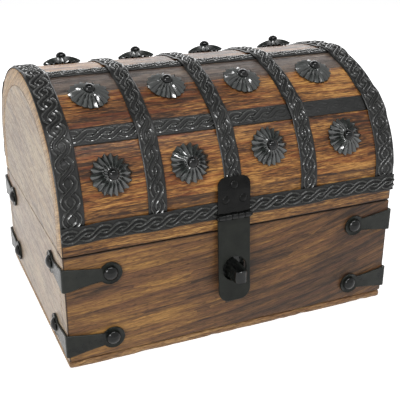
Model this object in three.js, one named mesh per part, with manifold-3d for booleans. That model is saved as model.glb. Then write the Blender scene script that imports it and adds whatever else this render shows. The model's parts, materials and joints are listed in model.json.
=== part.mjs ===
// A wooden treasure box bound in iron: a base of four boards on a floor, an arched lid of staves
// on two back hinges, thin iron straps, rosette studs, corner brackets, and a hasp with its staple.
// Millimetres. +Z is up, +X runs along the front to the right, and the front faces -Y.
// The origin is the centre of the underside, on the surface that the box stands on.
import * as THREE from "three";
import { mergeVertices } from "three/addons/utils/BufferGeometryUtils.js";
import Module from "manifold-3d";

// Sizes of the wooden box
const boxWidth = 203.2;
const boxDepth = 152.4;
const baseHeight = 67;
const boardThickness = 9.6;
const floorThickness = 4.5;
const lidSeam = 0.5;
const lidHeight = 81.2;
const lidBoardHeight = 24;
const shoulderStartDegrees = 8;
const shoulderEndDegrees = 45;
const facetDegrees = 9;

// Clearances: between pieces that bear on each other, and how far a cut runs past what it opens
const fitGap = 0.3;
const cutOverrun = 1;

// Sides of a round: a barrel or an eye, a small nail, and a quarter bend
const roundSides = 14;
const nailSides = 8;
const bendSides = 4;

// Where the lid's staves meet, measured round the lid from its ridge, positive to the front
const staveJointFrontLow = 64.5;
const staveJointFrontHigh = 34.5;
const staveJointRidge = 12;
const staveJointBackHigh = -34.5;
const staveJointBackLow = -64.5;

// Iron straps: five bands over the lid, three long strips, and a rail along each lower edge
const strapThickness = 0.9;
const bandWidth = 10.4;
const endBandWidth = 12.8;
const bandTuck = 8;
const stripWidth = 10;
const stripFrontGirth = 64.5;
const stripTopGirth = 12.6;
const stripTopWidth = 7.6;
const stripBackGirth = -64.5;
const railWidth = 10;
const railRise = 12.5;
const joggleRun = 1.5;
const bandSideShares = [-0.485, 0.422];
const middleBandX = -5;

// Rosette studs: their rows round the lid from the ridge, and the pleated cap with its nail
const studRowGirths = { front_low: 85, front_high: 37, back_high: -26, back_low: -85 };
const petalCount = 18;
const studRadius = 11.3;
const studRimHeight = 0.7;
const studHollow = 0.5;
const studCrownRadius = 6.4;
const studCrownHeight = 4;
const studPeakHeight = 5.1;
const studHeadRise = 4.5;
const studScallop = 1;
const studPleat = 0.5;
const studHeadRadius = 3.4;
const studHeadHeight = 3.2;
const studHeadShoulder = 2;
const studShankRadius = 1;
const studShankLength = 8.5;

// How far each stud was set from the middle of its field and from its row, from left to right
const studShifts = {
  front_low: [[-0.8, 1.6], [-1.8, 1.3], [0.2, -1.7], [0.4, -1.3]],
  front_high: [[-0.7, 0.6], [-0.7, -0.7], [-0.7, 0.8], [-1.7, -0.4]],
  back_high: [[1, 0], [3.5, 0], [4.5, 0], [5.5, 0]],
  back_low: [[0, 0], [0, 0], [0, 0], [0, 0]],
};

// Corner brackets of the base, one pair at each corner
const bracketThickness = 1.2;
const bracketCornerHeight = 13.4;
const bracketNeckHeight = 7.6;
const bracketReach = 25;
const bracketEyeRadius = 6.4;
const bracketUpperDrop = 12.4;
const bracketLowerRise = 15.2;

// Nails of the brackets, the hasp plate and the hinges
const bracketNailRadius = 4;
const bracketNailHeight = 2.3;
const plateNailRadius = 2.4;
const plateNailHeight = 1.2;
const nailShankRadius = 1;
const nailShankLength = 8;
const nailDomeRadiusShare = 0.8;
const nailDomeHeightShare = 0.65;
const pinFaceShare = 0.6;

// Hasp: plate on the lid, leaf that hangs from it, pin, and the staple in the base
const haspX = -5.5;
const haspWidth = 19.6;
const haspThickness = 1.2;
const haspAxisRise = 9;
const haspBarrelRadius = 1.7;
const haspPinRadius = 0.7;
const haspPinHeadRadius = 1.3;
const haspPinHeadLength = 0.7;
const haspKnuckles = 5;
const plateHeight = 22.1;
const plateCornerRadius = 4.8;
const plateLowNailRise = 10;
const plateTopNailRise = 17.9;
const plateNailSpread = 5.2;
const plateBandLap = 7;
const leafLeanDegrees = 4;
const leafLength = 51.2;
const leafCornerRadius = 6.5;
const leafHoleDrop = 31.4;
const leafHoleRadius = 7.25;
const leafHoleSides = 28;
const stapleSag = 1.3;
const stapleWidth = 7.4;
const stapleHeight = 7.4;
const stapleThickness = 1.6;
const stapleReach = 15;
const stapleBendRadius = 3;
const stapleRoot = 7;

// Back hinges, in line with the second and fourth bands: two leaves and a pin each
const hingeLeafWidth = 22;
const hingeLeafHeight = 18;
const hingeThickness = 1.2;
const hingeBarrelRadius = 2.3;
const hingePinRadius = 1.1;
const hingePinHeadRadius = 1.8;
const hingePinHeadLength = 0.9;
const hingeKnuckles = 3;
const hingeNailRise = 12;
const hingeNailSpread = 7.4;

// Colours and finishes
const baseWood = new THREE.MeshStandardMaterial({ color: 0x7a5233, roughness: 0.55, metalness: 0 });
const lidWood = new THREE.MeshStandardMaterial({ color: 0x8f5a2a, roughness: 0.4, metalness: 0 });
const endWood = new THREE.MeshStandardMaterial({ color: 0xa98c72, roughness: 0.6, metalness: 0 });
const strapIron = new THREE.MeshStandardMaterial({ color: 0x2b2b2a, roughness: 0.35, metalness: 0.6 });
const studIron = new THREE.MeshStandardMaterial({ color: 0x2e3232, roughness: 0.3, metalness: 0.7 });
const haspIron = new THREE.MeshStandardMaterial({ color: 0x2a2c29, roughness: 0.42, metalness: 0.5 });

const wasm = await Module();
wasm.setup();

// Half sizes, levels and the lid's two arcs, which follow from the sizes above
const halfWidth = boxWidth / 2;
const halfDepth = boxDepth / 2;
const ridgeZ = baseHeight + lidHeight;
const shoulderZ = baseHeight + lidBoardHeight;
const lidFloorZ = baseHeight + lidSeam;
const degree = Math.PI / 180;
const shoulderStart = shoulderStartDegrees * degree;
const shoulderEnd = shoulderEndDegrees * degree;
const arcs = fitLidArcs();
const crownGirth = arcs.crownRadius * (Math.PI / 2 - shoulderEnd);
const halfGirth = crownGirth + arcs.shoulderRadius * (shoulderEnd - shoulderStart);

// The crown's arc and the shoulder's arc meet smoothly and span half the depth and the lid's rise.
function fitLidArcs() {
  const rise = ridgeZ - shoulderZ;
  const across = Math.cos(shoulderStart) - Math.cos(shoulderEnd);
  const up = Math.sin(shoulderEnd) - Math.sin(shoulderStart);
  const crownAcross = Math.cos(shoulderEnd);
  const crownUp = 1 - Math.sin(shoulderEnd);
  const determinant = across * crownUp - crownAcross * up;
  return {
    shoulderRadius: (halfDepth * crownUp - crownAcross * rise) / determinant,
    crownRadius: (across * rise - up * halfDepth) / determinant,
  };
}

// The point (y, z), outward direction and bend radius at a girth round the lid and a height above it
function lidPlace(girth, lift) {
  const side = girth < 0 ? 1 : -1;
  const distance = Math.abs(girth);
  const { crownRadius, shoulderRadius } = arcs;
  const crownZ = ridgeZ - crownRadius;
  const step = crownRadius - shoulderRadius;
  let angle = 0;
  let bend = Infinity;
  let y = halfDepth + lift;
  let z = shoulderZ - (distance - halfGirth);
  if (distance <= crownGirth) {
    angle = Math.PI / 2 - distance / crownRadius;
    bend = crownRadius;
    y = (crownRadius + lift) * Math.cos(angle);
    z = crownZ + (crownRadius + lift) * Math.sin(angle);
  } else if (distance <= halfGirth) {
    angle = shoulderEnd - (distance - crownGirth) / shoulderRadius;
    bend = shoulderRadius;
    y = step * Math.cos(shoulderEnd) + (shoulderRadius + lift) * Math.cos(angle);
    z = crownZ + step * Math.sin(shoulderEnd) + (shoulderRadius + lift) * Math.sin(angle);
  }
  return {
    point: new THREE.Vector2(side * y, z),
    out: new THREE.Vector3(0, side * Math.cos(angle), Math.sin(angle)),
    bend,
  };
}

const lidPoint = (girth, lift) => lidPlace(girth, lift).point;

// Even steps from one girth to another, each at most one facet of the tighter arc
function girthSteps(from, to) {
  const facet = Math.min(arcs.crownRadius, arcs.shoulderRadius) * facetDegrees * degree;
  const count = Math.max(1, Math.ceil(Math.abs(to - from) / facet));
  return Array.from({ length: count + 1 }, (_, i) => from + ((to - from) * i) / count);
}

// A closed manifold solid with its faces turned outward, from any closed geometry
function solid(geometry) {
  const bare = geometry.clone();
  bare.deleteAttribute("normal");
  bare.deleteAttribute("uv");
  const welded = mergeVertices(bare);
  const points = welded.getAttribute("position").array;
  const index = welded.getIndex().array;
  const faces = [];
  let volume = 0;
  for (let i = 0; i < index.length; i += 3) {
    const [a, b, c] = [index[i], index[i + 1], index[i + 2]];
    if (a === b || b === c || c === a) continue;
    faces.push(a, b, c);
    const [pa, pb, pc] = [a, b, c].map((v) => new THREE.Vector3().fromArray(points, 3 * v));
    volume += pa.dot(pb.cross(pc));
  }
  if (volume < 0) {
    for (let i = 0; i < faces.length; i += 3) [faces[i], faces[i + 1]] = [faces[i + 1], faces[i]];
  }
  const mesh = { numProp: 3, vertProperties: new Float32Array(points), triVerts: new Uint32Array(faces) };
  return new wasm.Manifold(new wasm.Mesh(mesh));
}

const join = (pieces) => pieces.reduce((whole, piece) => whole.add(piece));
const cut = (whole, tools) => tools.reduce((rest, tool) => rest.subtract(tool), whole);

function named(name, piece, material) {
  const { vertProperties, triVerts } = piece.getMesh();
  const geometry = new THREE.BufferGeometry();
  geometry.setAttribute("position", new THREE.BufferAttribute(new Float32Array(vertProperties), 3));
  geometry.setIndex(new THREE.BufferAttribute(new Uint32Array(triVerts), 1));
  geometry.computeVertexNormals();
  const mesh = new THREE.Mesh(geometry, material);
  mesh.name = name;
  return mesh;
}

// Prisms: an outline drawn in two axes, carried along the third from one place to another
function prism(outline, from, to, firstAxis, secondAxis) {
  const shape = outline instanceof THREE.Shape ? outline : new THREE.Shape(outline);
  const options = { depth: Math.abs(to - from), bevelEnabled: false, curveSegments: bendSides };
  const geometry = new THREE.ExtrudeGeometry(shape, options);
  const along = new THREE.Vector3().crossVectors(firstAxis, secondAxis);
  const forward = along.x + along.y + along.z > 0;
  const start = forward ? Math.min(from, to) : -Math.max(from, to);
  geometry.applyMatrix4(new THREE.Matrix4().makeBasis(firstAxis, secondAxis, along));
  geometry.translate(start * along.x, start * along.y, start * along.z);
  return solid(geometry);
}

const axisX = new THREE.Vector3(1, 0, 0);
const axisY = new THREE.Vector3(0, 1, 0);
const axisZ = new THREE.Vector3(0, 0, 1);
const alongX = (outlineYZ, from, to) => prism(outlineYZ, from, to, axisY, axisZ);
const alongY = (outlineXZ, from, to) => prism(outlineXZ, from, to, axisX, axisZ);
const alongZ = (outlineXY, from, to) => prism(outlineXY, from, to, axisX, axisY);

function block(x0, x1, y0, y1, z0, z1) {
  const geometry = new THREE.BoxGeometry(Math.abs(x1 - x0), Math.abs(y1 - y0), Math.abs(z1 - z0));
  geometry.translate((x0 + x1) / 2, (y0 + y1) / 2, (z0 + z1) / 2);
  return solid(geometry);
}

// A turned shape: its profile of (radius, height) points stands on a place and points outward
function turned(profile, sides, place, out, shaping) {
  const points = profile.map(([radius, height]) => new THREE.Vector2(radius, height));
  const geometry = new THREE.LatheGeometry(points, sides);
  if (shaping) shaping(geometry.getAttribute("position"));
  geometry.applyQuaternion(new THREE.Quaternion().setFromUnitVectors(axisY, out));
  geometry.translate(place.x, place.y, place.z);
  return solid(geometry);
}

function rod(radius, from, to, sides = roundSides) {
  const span = new THREE.Vector3().subVectors(to, from);
  const profile = [[0, 0], [radius, 0], [radius, span.length()], [0, span.length()]];
  return turned(profile, sides, from, span.clone().normalize());
}

// A domed nail, seated with the underside of its head on a place, and the hole that its shank needs
function nail(seat, headRadius, headHeight) {
  const profile = [
    [0, -nailShankLength],
    [nailShankRadius, -nailShankLength],
    [nailShankRadius, 0],
    [headRadius, 0],
    [headRadius * nailDomeRadiusShare, headHeight * nailDomeHeightShare],
    [0, headHeight],
  ];
  return turned(profile, nailSides, seat.place, seat.out);
}

function shankHole(seat, shankRadius, shankLength) {
  const inner = seat.place.clone().addScaledVector(seat.out, -shankLength - fitGap);
  const outer = seat.place.clone().addScaledVector(seat.out, cutOverrun);
  return rod(shankRadius + fitGap, inner, outer, nailSides);
}

// Where the bands cross the lid, and the middle of each field between them
const endBandX = halfWidth - endBandWidth / 2;
const bandPlaces = [
  { x: -endBandX, width: endBandWidth },
  { x: bandSideShares[0] * halfWidth, width: bandWidth },
  { x: middleBandX, width: bandWidth },
  { x: bandSideShares[1] * halfWidth, width: bandWidth },
  { x: endBandX, width: endBandWidth },
];
const studColumns = bandPlaces.slice(1).map((band, i) => {
  const before = bandPlaces[i];
  return (before.x + before.width / 2 + band.x - band.width / 2) / 2;
});

// Heights above the wood of a strap that lies on it, and of one that crosses another strap
const lowUnder = fitGap;
const lowTop = lowUnder + strapThickness;
const highUnder = lowTop + fitGap;
const highTop = highUnder + strapThickness;
const railZ = baseHeight + railRise;

// Hasp and hinge lines. The plate is bent to the lid, over the rail and over the middle band's end.
const haspUnder = lowTop + fitGap;
const haspFace = haspUnder + haspThickness;
const haspAxis = { y: -(halfDepth + haspUnder + haspBarrelRadius), z: baseHeight + haspAxisRise };
const haspGirth = halfGirth + shoulderZ - haspAxis.z;
const plateTopGirth = haspGirth - plateHeight;
const leafLean = leafLeanDegrees * degree;
const leafHoleZ = haspAxis.z - leafHoleDrop;
const stapleZ = haspAxis.z - leafHoleDrop * Math.cos(leafLean) - stapleSag;
const hingeUnder = highTop + fitGap;
const [, secondBand, middleBand, fourthBand] = bandPlaces;
const hingePlaces = [secondBand.x, fourthBand.x];
const hingeAxis = { y: halfDepth + fitGap + hingeBarrelRadius, z: baseHeight + lidSeam / 2 };

// Seats of all nails, each with its place on the iron's face and its outward direction
const haspNailSeats = [
  [haspX, plateTopNailRise],
  [haspX - plateNailSpread, plateLowNailRise],
  [haspX + plateNailSpread, plateLowNailRise],
].map(([x, rise]) => {
  const { point, out } = lidPlace(haspGirth - rise, haspFace);
  return { place: new THREE.Vector3(x, point.x, point.y), out };
});
const hingeSeats = (x, rise, lift) =>
  [-hingeNailSpread, hingeNailSpread].map((spread) => ({
    place: new THREE.Vector3(x + spread, halfDepth + lift, hingeAxis.z + rise),
    out: new THREE.Vector3(0, 1, 0),
  }));
const lidHingeSeats = hingePlaces.map((x) => hingeSeats(x, hingeNailRise, hingeUnder + hingeThickness));
const baseHingeSeats = hingePlaces.map((x) => hingeSeats(x, -hingeNailRise, fitGap + hingeThickness));
const studSeats = Object.entries(studRowGirths).flatMap(([row, girth]) =>
  studColumns.map((x, column) => {
    const [sideways, down] = studShifts[row][column];
    const { point, out, bend } = lidPlace(girth + down, fitGap);
    const place = new THREE.Vector3(x + sideways, point.x, point.y);
    return { name: `stud_${row}_${column + 1}`, place, out, bend };
  }));
const bracketCorners = ["front", "back"].flatMap((depthName, i) =>
  ["left", "right"].flatMap((widthName, j) =>
    [["upper", baseHeight - bracketUpperDrop], ["lower", bracketLowerRise]].map(([level, z]) => ({
      name: `bracket_${depthName}_${widthName}_${level}`,
      sideX: j === 0 ? -1 : 1,
      sideY: i === 0 ? -1 : 1,
      z,
    }))));

function bracketSeats({ sideX, sideY, z }) {
  const face = fitGap + bracketThickness;
  const onFront = new THREE.Vector3(sideX * (halfWidth - bracketReach), sideY * (halfDepth + face), z);
  const onSide = new THREE.Vector3(sideX * (halfWidth + face), sideY * (halfDepth - bracketReach), z);
  return [
    { place: onFront, out: new THREE.Vector3(0, sideY, 0) },
    { place: onSide, out: new THREE.Vector3(sideX, 0, 0) },
  ];
}

const nailHole = (seat) => shankHole(seat, nailShankRadius, nailShankLength);
const bracketHoles = bracketCorners.flatMap(bracketSeats).map(nailHole);
const haspHoles = haspNailSeats.map(nailHole);
const lidHingeHoles = lidHingeSeats.flat().map(nailHole);
const baseHingeHoles = baseHingeSeats.flat().map(nailHole);
const studHoles = studSeats.map((seat) => shankHole(seat, studShankRadius, studShankLength));

// Base: front and back boards run the full width, side boards fit between them, all on the floor
function baseBoards() {
  const boards = new THREE.Group();
  const low = floorThickness + fitGap;
  const innerX = halfWidth - boardThickness;
  const innerY = halfDepth - boardThickness;
  const wallY = innerY - fitGap;
  const front = block(-halfWidth, halfWidth, -halfDepth, -innerY, low, baseHeight);
  const back = block(-halfWidth, halfWidth, innerY, halfDepth, low, baseHeight);
  const left = block(-halfWidth, -innerX, -wallY, wallY, low, baseHeight);
  const right = block(innerX, halfWidth, -wallY, wallY, low, baseHeight);
  const floor = block(-halfWidth, halfWidth, -halfDepth, halfDepth, 0, floorThickness);
  boards.add(
    named("base_front", cut(front, [...bracketHoles, ...stapleSlots()]), baseWood),
    named("base_back", cut(back, [...bracketHoles, ...baseHingeHoles]), baseWood),
    named("base_left", cut(left, bracketHoles), endWood),
    named("base_right", cut(right, bracketHoles), endWood),
    named("base_floor", floor, baseWood),
  );
  return boards;
}

// Lid: a straight board at the front and back, six staves between them, and a panel at each end
function lidBoard(side) {
  const innerTop = lidPoint(halfGirth, -boardThickness);
  const outline = [
    new THREE.Vector2(side * halfDepth, lidFloorZ),
    new THREE.Vector2(side * halfDepth, shoulderZ - fitGap),
    new THREE.Vector2(side * (halfDepth - boardThickness), innerTop.y - fitGap),
    new THREE.Vector2(side * (halfDepth - boardThickness), lidFloorZ),
  ];
  return alongX(outline, -halfWidth, halfWidth);
}

function lidStave(from, to) {
  const steps = girthSteps(from, to);
  const outer = steps.map((girth) => lidPoint(girth, 0));
  const inner = steps.map((girth) => lidPoint(girth, -boardThickness)).reverse();
  return alongX([...outer, ...inner], -halfWidth, halfWidth);
}

function lidEndPanel(side) {
  const drop = -boardThickness - fitGap;
  const wall = halfDepth - boardThickness - fitGap;
  const arch = girthSteps(halfGirth, -halfGirth).map((girth) => lidPoint(girth, drop));
  const foot = [new THREE.Vector2(wall, lidFloorZ), new THREE.Vector2(-wall, lidFloorZ)];
  return alongX([...arch, ...foot], side * halfWidth, side * (halfWidth - boardThickness));
}

function lidWoodwork() {
  const boards = new THREE.Group();
  const joints = [
    halfGirth, staveJointFrontLow, staveJointFrontHigh, staveJointRidge,
    staveJointBackHigh, staveJointBackLow, -halfGirth,
  ];
  boards.add(
    named("lid_board_front", cut(lidBoard(-1), haspHoles), lidWood),
    named("lid_board_back", cut(lidBoard(1), lidHingeHoles), lidWood),
    named("lid_end_left", lidEndPanel(-1), endWood),
    named("lid_end_right", lidEndPanel(1), endWood),
  );
  joints.slice(1).forEach((joint, i) => {
    const from = joints[i] - (i === 0 ? 0 : fitGap / 2);
    const to = joint + (i === joints.length - 2 ? 0 : fitGap / 2);
    const stave = cut(lidStave(from, to), [...studHoles, ...haspHoles]);
    boards.add(named(`lid_stave_${i + 1}`, stave, lidWood));
  });
  return boards;
}

// The heights of a strap's underside along its run: raised over each strap that it crosses
function joggledRun(from, to, crossings) {
  const places = [{ at: from, under: lowUnder }];
  for (const { at, width } of crossings) {
    const half = width / 2 + fitGap;
    places.push({ at: at - half - joggleRun, under: lowUnder }, { at: at - half, under: highUnder });
    places.push({ at: at + half, under: highUnder }, { at: at + half + joggleRun, under: lowUnder });
  }
  places.push({ at: to, under: lowUnder });
  return places.filter((place) => place.at >= from && place.at <= to).sort((a, b) => a.at - b.at);
}

function fillSteps(places, stepsBetween) {
  return places.flatMap((place, i) => {
    const next = places[i + 1];
    if (!next) return [place];
    const span = next.at - place.at;
    return stepsBetween(place.at, next.at).slice(0, -1).map((at) => ({
      at,
      under: place.under + (span === 0 ? 0 : ((next.under - place.under) * (at - place.at)) / span),
    }));
  });
}

// Arch bands follow the lid from rail to rail and rise over the three long strips. The middle one
// ends in front under the hasp's plate.
function archBand(band) {
  const { x, width } = band;
  const railEnd = halfGirth + shoulderZ - railZ + railWidth / 2 - (railWidth - bandTuck);
  const frontEnd = band === middleBand ? plateTopGirth + plateBandLap : railEnd;
  const crossings = [
    { at: stripFrontGirth, width: stripWidth },
    { at: stripTopGirth, width: stripTopWidth },
    { at: stripBackGirth, width: stripWidth },
  ];
  const corners = [-halfGirth, halfGirth]
    .filter((at) => at < frontEnd)
    .map((at) => ({ at, under: lowUnder }));
  const joggles = joggledRun(-railEnd, frontEnd, crossings);
  const places = [...joggles, ...corners].sort((a, b) => a.at - b.at);
  const run = fillSteps(places, girthSteps);
  const under = run.map((place) => lidPoint(place.at, place.under));
  const top = run.map((place) => lidPoint(place.at, place.under + strapThickness)).reverse();
  return alongX([...under, ...top], x - width / 2, x + width / 2);
}

function longStrip(girth, width) {
  const steps = girthSteps(girth - width / 2, girth + width / 2);
  const under = steps.map((at) => lidPoint(at, lowUnder));
  const top = steps.map((at) => lidPoint(at, lowTop)).reverse();
  const end = halfWidth - endBandWidth / 2;
  return alongX([...under, ...top], -end, end);
}

// Rails run along the lid's lower edges, over the ends of the bands.
function lowerRail(side) {
  const tucked = bandPlaces.filter((band) => side > 0 || band !== middleBand);
  const crossings = tucked.map(({ x, width }) => ({ at: x, width }));
  const run = joggledRun(-halfWidth, halfWidth, crossings);
  run[0].under = highUnder;
  run[run.length - 1].under = highUnder;
  const place = (at, lift) => new THREE.Vector2(at, side * (halfDepth + lift));
  const under = run.map(({ at, under: lift }) => place(at, lift));
  const top = run.map(({ at, under: lift }) => place(at, lift + strapThickness)).reverse();
  return alongZ([...under, ...top], railZ - railWidth / 2, railZ + railWidth / 2);
}

function lidStraps() {
  const straps = new THREE.Group();
  bandPlaces.forEach((place, i) => {
    straps.add(named(`band_${i + 1}`, cut(archBand(place), haspHoles), strapIron));
  });
  straps.add(
    named("strip_front", longStrip(stripFrontGirth, stripWidth), strapIron),
    named("strip_top", longStrip(stripTopGirth, stripTopWidth), strapIron),
    named("strip_back", longStrip(stripBackGirth, stripWidth), strapIron),
    named("rail_front", cut(lowerRail(-1), haspHoles), strapIron),
    named("rail_back", cut(lowerRail(1), lidHingeHoles), strapIron),
  );
  return straps;
}

// A rosette stud: a hollow pleated cap that follows the lid's curve, held by a round-headed nail
function rosetteStud(seat) {
  const cap = [
    [0, studHollow],
    [studRadius, studRimHeight],
    [studCrownRadius, studCrownHeight],
    [0, studPeakHeight],
  ];
  const pleat = (position) => {
    for (let i = 0; i < position.count; i += 1) {
      const [x, y, z] = [position.getX(i), position.getY(i), position.getZ(i)];
      if (Math.hypot(x, z) <= studHeadRadius) continue;
      const valley = (1 - Math.cos(petalCount * Math.atan2(x, z))) / 2;
      const drawIn = 1 - (valley * studScallop) / studRadius;
      const drop = valley * studPleat + z ** 2 / (2 * seat.bend);
      position.setXYZ(i, x * drawIn, y - drop, z * drawIn);
    }
  };
  const along = (height) => seat.place.clone().addScaledVector(seat.out, height);
  const head = [[0, 0], [studHeadRadius, 0], [studHeadRadius, studHeadShoulder], [0, studHeadHeight]];
  return join([
    turned(cap, petalCount * 2, seat.place, seat.out, pleat),
    turned(head, nailSides, along(studHeadRise), seat.out),
    rod(studShankRadius, along(-studShankLength), along(studRimHeight), nailSides),
  ]);
}

// A corner bracket: two arms that meet at the corner, each tapering to a round eye with a nail
function cornerBracket(corner) {
  const { sideX, sideY, z } = corner;
  const wrap = fitGap + bracketThickness;
  const neck = bracketNeckHeight / 2;
  const eyeStart = Math.PI - Math.asin(neck / bracketEyeRadius);
  const eye = Array.from({ length: roundSides + 1 }, (_, i) => {
    const angle = -eyeStart + (2 * eyeStart * i) / roundSides;
    return [bracketReach + bracketEyeRadius * Math.cos(angle), bracketEyeRadius * Math.sin(angle)];
  });
  const half = bracketCornerHeight / 2;
  const outline = [[-wrap, half], [-wrap, -half], ...eye];
  const onFace = outline.map(([u, v]) => new THREE.Vector2(sideX * (halfWidth - u), z + v));
  const onSide = outline.map(([u, v]) => new THREE.Vector2(sideY * (halfDepth - u), z + v));
  const arms = [
    alongY(onFace, sideY * (halfDepth + fitGap), sideY * (halfDepth + wrap)),
    alongX(onSide, sideX * (halfWidth + fitGap), sideX * (halfWidth + wrap)),
  ];
  const nails = bracketSeats(corner).map((seat) => nail(seat, bracketNailRadius, bracketNailHeight));
  return join([...arms, ...nails]);
}

// Hinge knuckles: alternate turns of a barrel, with the tab that ties each one to its leaf
function knuckles(count, first, centreX, width, axis, barrelRadius, tab) {
  const pitch = width / count;
  const pieces = [];
  for (let i = first; i < count; i += 2) {
    const from = centreX - width / 2 + i * pitch + (i === 0 ? 0 : fitGap / 2);
    const to = centreX - width / 2 + (i + 1) * pitch - (i === count - 1 ? 0 : fitGap / 2);
    const start = new THREE.Vector3(from, axis.y, axis.z);
    const end = new THREE.Vector3(to, axis.y, axis.z);
    pieces.push(rod(barrelRadius, start, end), block(from, to, tab.y0, tab.y1, axis.z, tab.z));
  }
  return pieces;
}

function pinBore(centreX, width, axis, pinRadius) {
  const reach = width / 2 + cutOverrun;
  const from = new THREE.Vector3(centreX - reach, axis.y, axis.z);
  const to = new THREE.Vector3(centreX + reach, axis.y, axis.z);
  return rod(pinRadius + fitGap, from, to);
}

// A pin with a peened head at each end
function hingePin(centreX, width, axis, radius, headRadius, headLength) {
  const whole = width + 2 * (fitGap + headLength);
  const head = [
    [0, 0],
    [headRadius * pinFaceShare, 0],
    [headRadius, headLength / 2],
    [headRadius, headLength],
    [radius, headLength],
  ];
  const farHead = head.map(([at, height]) => [at, whole - height]).reverse();
  const place = new THREE.Vector3(centreX - whole / 2, axis.y, axis.z);
  return turned([...head, ...farHead], nailSides, place, axisX);
}

// The hasp's plate, cut to its round-cornered outline and bent to the lid
function haspPlate() {
  const half = haspWidth / 2;
  const rise = haspBarrelRadius + fitGap;
  const foot = haspAxis.z + rise;
  const straight = girthSteps(haspGirth - rise, halfGirth);
  const girths = [...straight, ...girthSteps(halfGirth, plateTopGirth).slice(1)];
  const inside = girths.map((girth) => lidPoint(girth, haspUnder));
  const outside = girths.map((girth) => lidPoint(girth, haspFace)).reverse();
  const sheet = alongX([...inside, ...outside], haspX - half, haspX + half);
  const corner = plateCornerRadius;
  const { x: topY, y: topZ } = lidPoint(plateTopGirth, haspFace);
  const outline = new THREE.Shape();
  outline.moveTo(haspX - half, foot);
  outline.lineTo(haspX - half, topZ - corner);
  outline.absarc(haspX - half + corner, topZ - corner, corner, Math.PI, Math.PI / 2, true);
  outline.lineTo(haspX + half - corner, topZ);
  outline.absarc(haspX + half - corner, topZ - corner, corner, Math.PI / 2, 0, true);
  outline.lineTo(haspX + half, foot);
  const y0 = -(halfDepth + haspUnder);
  const y1 = -(halfDepth + haspFace);
  const blank = alongY(outline, topY + haspFace + cutOverrun, y1 - cutOverrun);
  const tab = { y0, y1, z: foot + fitGap };
  const turns = knuckles(haspKnuckles, 0, haspX, haspWidth, haspAxis, haspBarrelRadius, tab);
  const nails = haspNailSeats.map((seat) => nail(seat, plateNailRadius, plateNailHeight));
  const body = join([sheet.intersect(blank), ...turns]);
  return join([cut(body, [pinBore(haspX, haspWidth, haspAxis, haspPinRadius)]), ...nails]);
}

// The hasp's leaf, straight down from the pin. It hangs a little off the upright, as its set does.
function haspLeaf() {
  const half = haspWidth / 2;
  const head = haspAxis.z - haspBarrelRadius - fitGap;
  const tip = haspAxis.z - leafLength;
  const corner = leafCornerRadius;
  const shape = new THREE.Shape();
  shape.moveTo(haspX - half, head);
  shape.lineTo(haspX - half, tip + corner);
  shape.absarc(haspX - half + corner, tip + corner, corner, Math.PI, Math.PI * 1.5);
  shape.lineTo(haspX + half - corner, tip);
  shape.absarc(haspX + half - corner, tip + corner, corner, -Math.PI / 2, 0);
  shape.lineTo(haspX + half, head);
  const y0 = -(halfDepth + haspUnder);
  const y1 = -(halfDepth + haspFace);
  const tab = { y0, y1, z: head - fitGap };
  const turns = knuckles(haspKnuckles, 1, haspX, haspWidth, haspAxis, haspBarrelRadius, tab);
  const holeFrom = new THREE.Vector3(haspX, y0 + cutOverrun, leafHoleZ);
  const holeTo = new THREE.Vector3(haspX, y1 - cutOverrun, leafHoleZ);
  const hole = rod(leafHoleRadius, holeFrom, holeTo, leafHoleSides);
  const body = join([alongY(shape, y0, y1), ...turns]);
  return cut(body, [hole, pinBore(haspX, haspWidth, haspAxis, haspPinRadius)]);
}

// The staple: a strip bent to a U, its two legs driven into the front board
function stapleShape(width, reach, bendRadius) {
  const half = width / 2;
  const root = -halfDepth + stapleRoot;
  const tip = -(halfDepth + reach);
  const shape = new THREE.Shape();
  shape.moveTo(haspX - half, root);
  shape.lineTo(haspX - half, tip + bendRadius);
  shape.absarc(haspX - half + bendRadius, tip + bendRadius, bendRadius, Math.PI, Math.PI * 1.5);
  shape.lineTo(haspX + half - bendRadius, tip);
  shape.absarc(haspX + half - bendRadius, tip + bendRadius, bendRadius, -Math.PI / 2, 0);
  shape.lineTo(haspX + half, root);
  return shape;
}

function staple() {
  const low = stapleZ - stapleHeight / 2;
  const high = stapleZ + stapleHeight / 2;
  const outer = alongZ(stapleShape(stapleWidth, stapleReach, stapleBendRadius), low, high);
  const eyeReach = stapleReach - stapleThickness;
  const eyeBend = stapleBendRadius - stapleThickness;
  const eyeWidth = stapleWidth - 2 * stapleThickness;
  const eye = alongZ(stapleShape(eyeWidth, eyeReach, eyeBend), low - cutOverrun, high + cutOverrun);
  const root = -halfDepth + stapleRoot;
  const half = eyeWidth / 2;
  const open = block(haspX - half, haspX + half, root - cutOverrun, root + cutOverrun,
    low - cutOverrun, high + cutOverrun);
  return cut(outer, [eye, open]);
}

function stapleSlots() {
  const low = stapleZ - stapleHeight / 2 - fitGap;
  const high = stapleZ + stapleHeight / 2 + fitGap;
  const deep = -halfDepth + stapleRoot + fitGap;
  const outer = stapleWidth / 2 + fitGap;
  const inner = stapleWidth / 2 - stapleThickness - fitGap;
  return [-1, 1].map((side) =>
    block(haspX + side * inner, haspX + side * outer, -halfDepth - cutOverrun, deep, low, high));
}

function haspSet() {
  const set = new THREE.Group();
  const hung = new THREE.Group();
  const leaf = named("hasp_leaf", haspLeaf(), haspIron);
  hung.position.set(0, haspAxis.y, haspAxis.z);
  hung.rotation.x = -leafLean;
  leaf.position.set(0, -haspAxis.y, -haspAxis.z);
  hung.add(leaf);
  const pin = hingePin(haspX, haspWidth, haspAxis, haspPinRadius, haspPinHeadRadius, haspPinHeadLength);
  set.add(
    named("hasp_plate", haspPlate(), haspIron),
    hung,
    named("hasp_pin", pin, haspIron),
    named("hasp_staple", staple(), haspIron),
  );
  return set;
}

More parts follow.
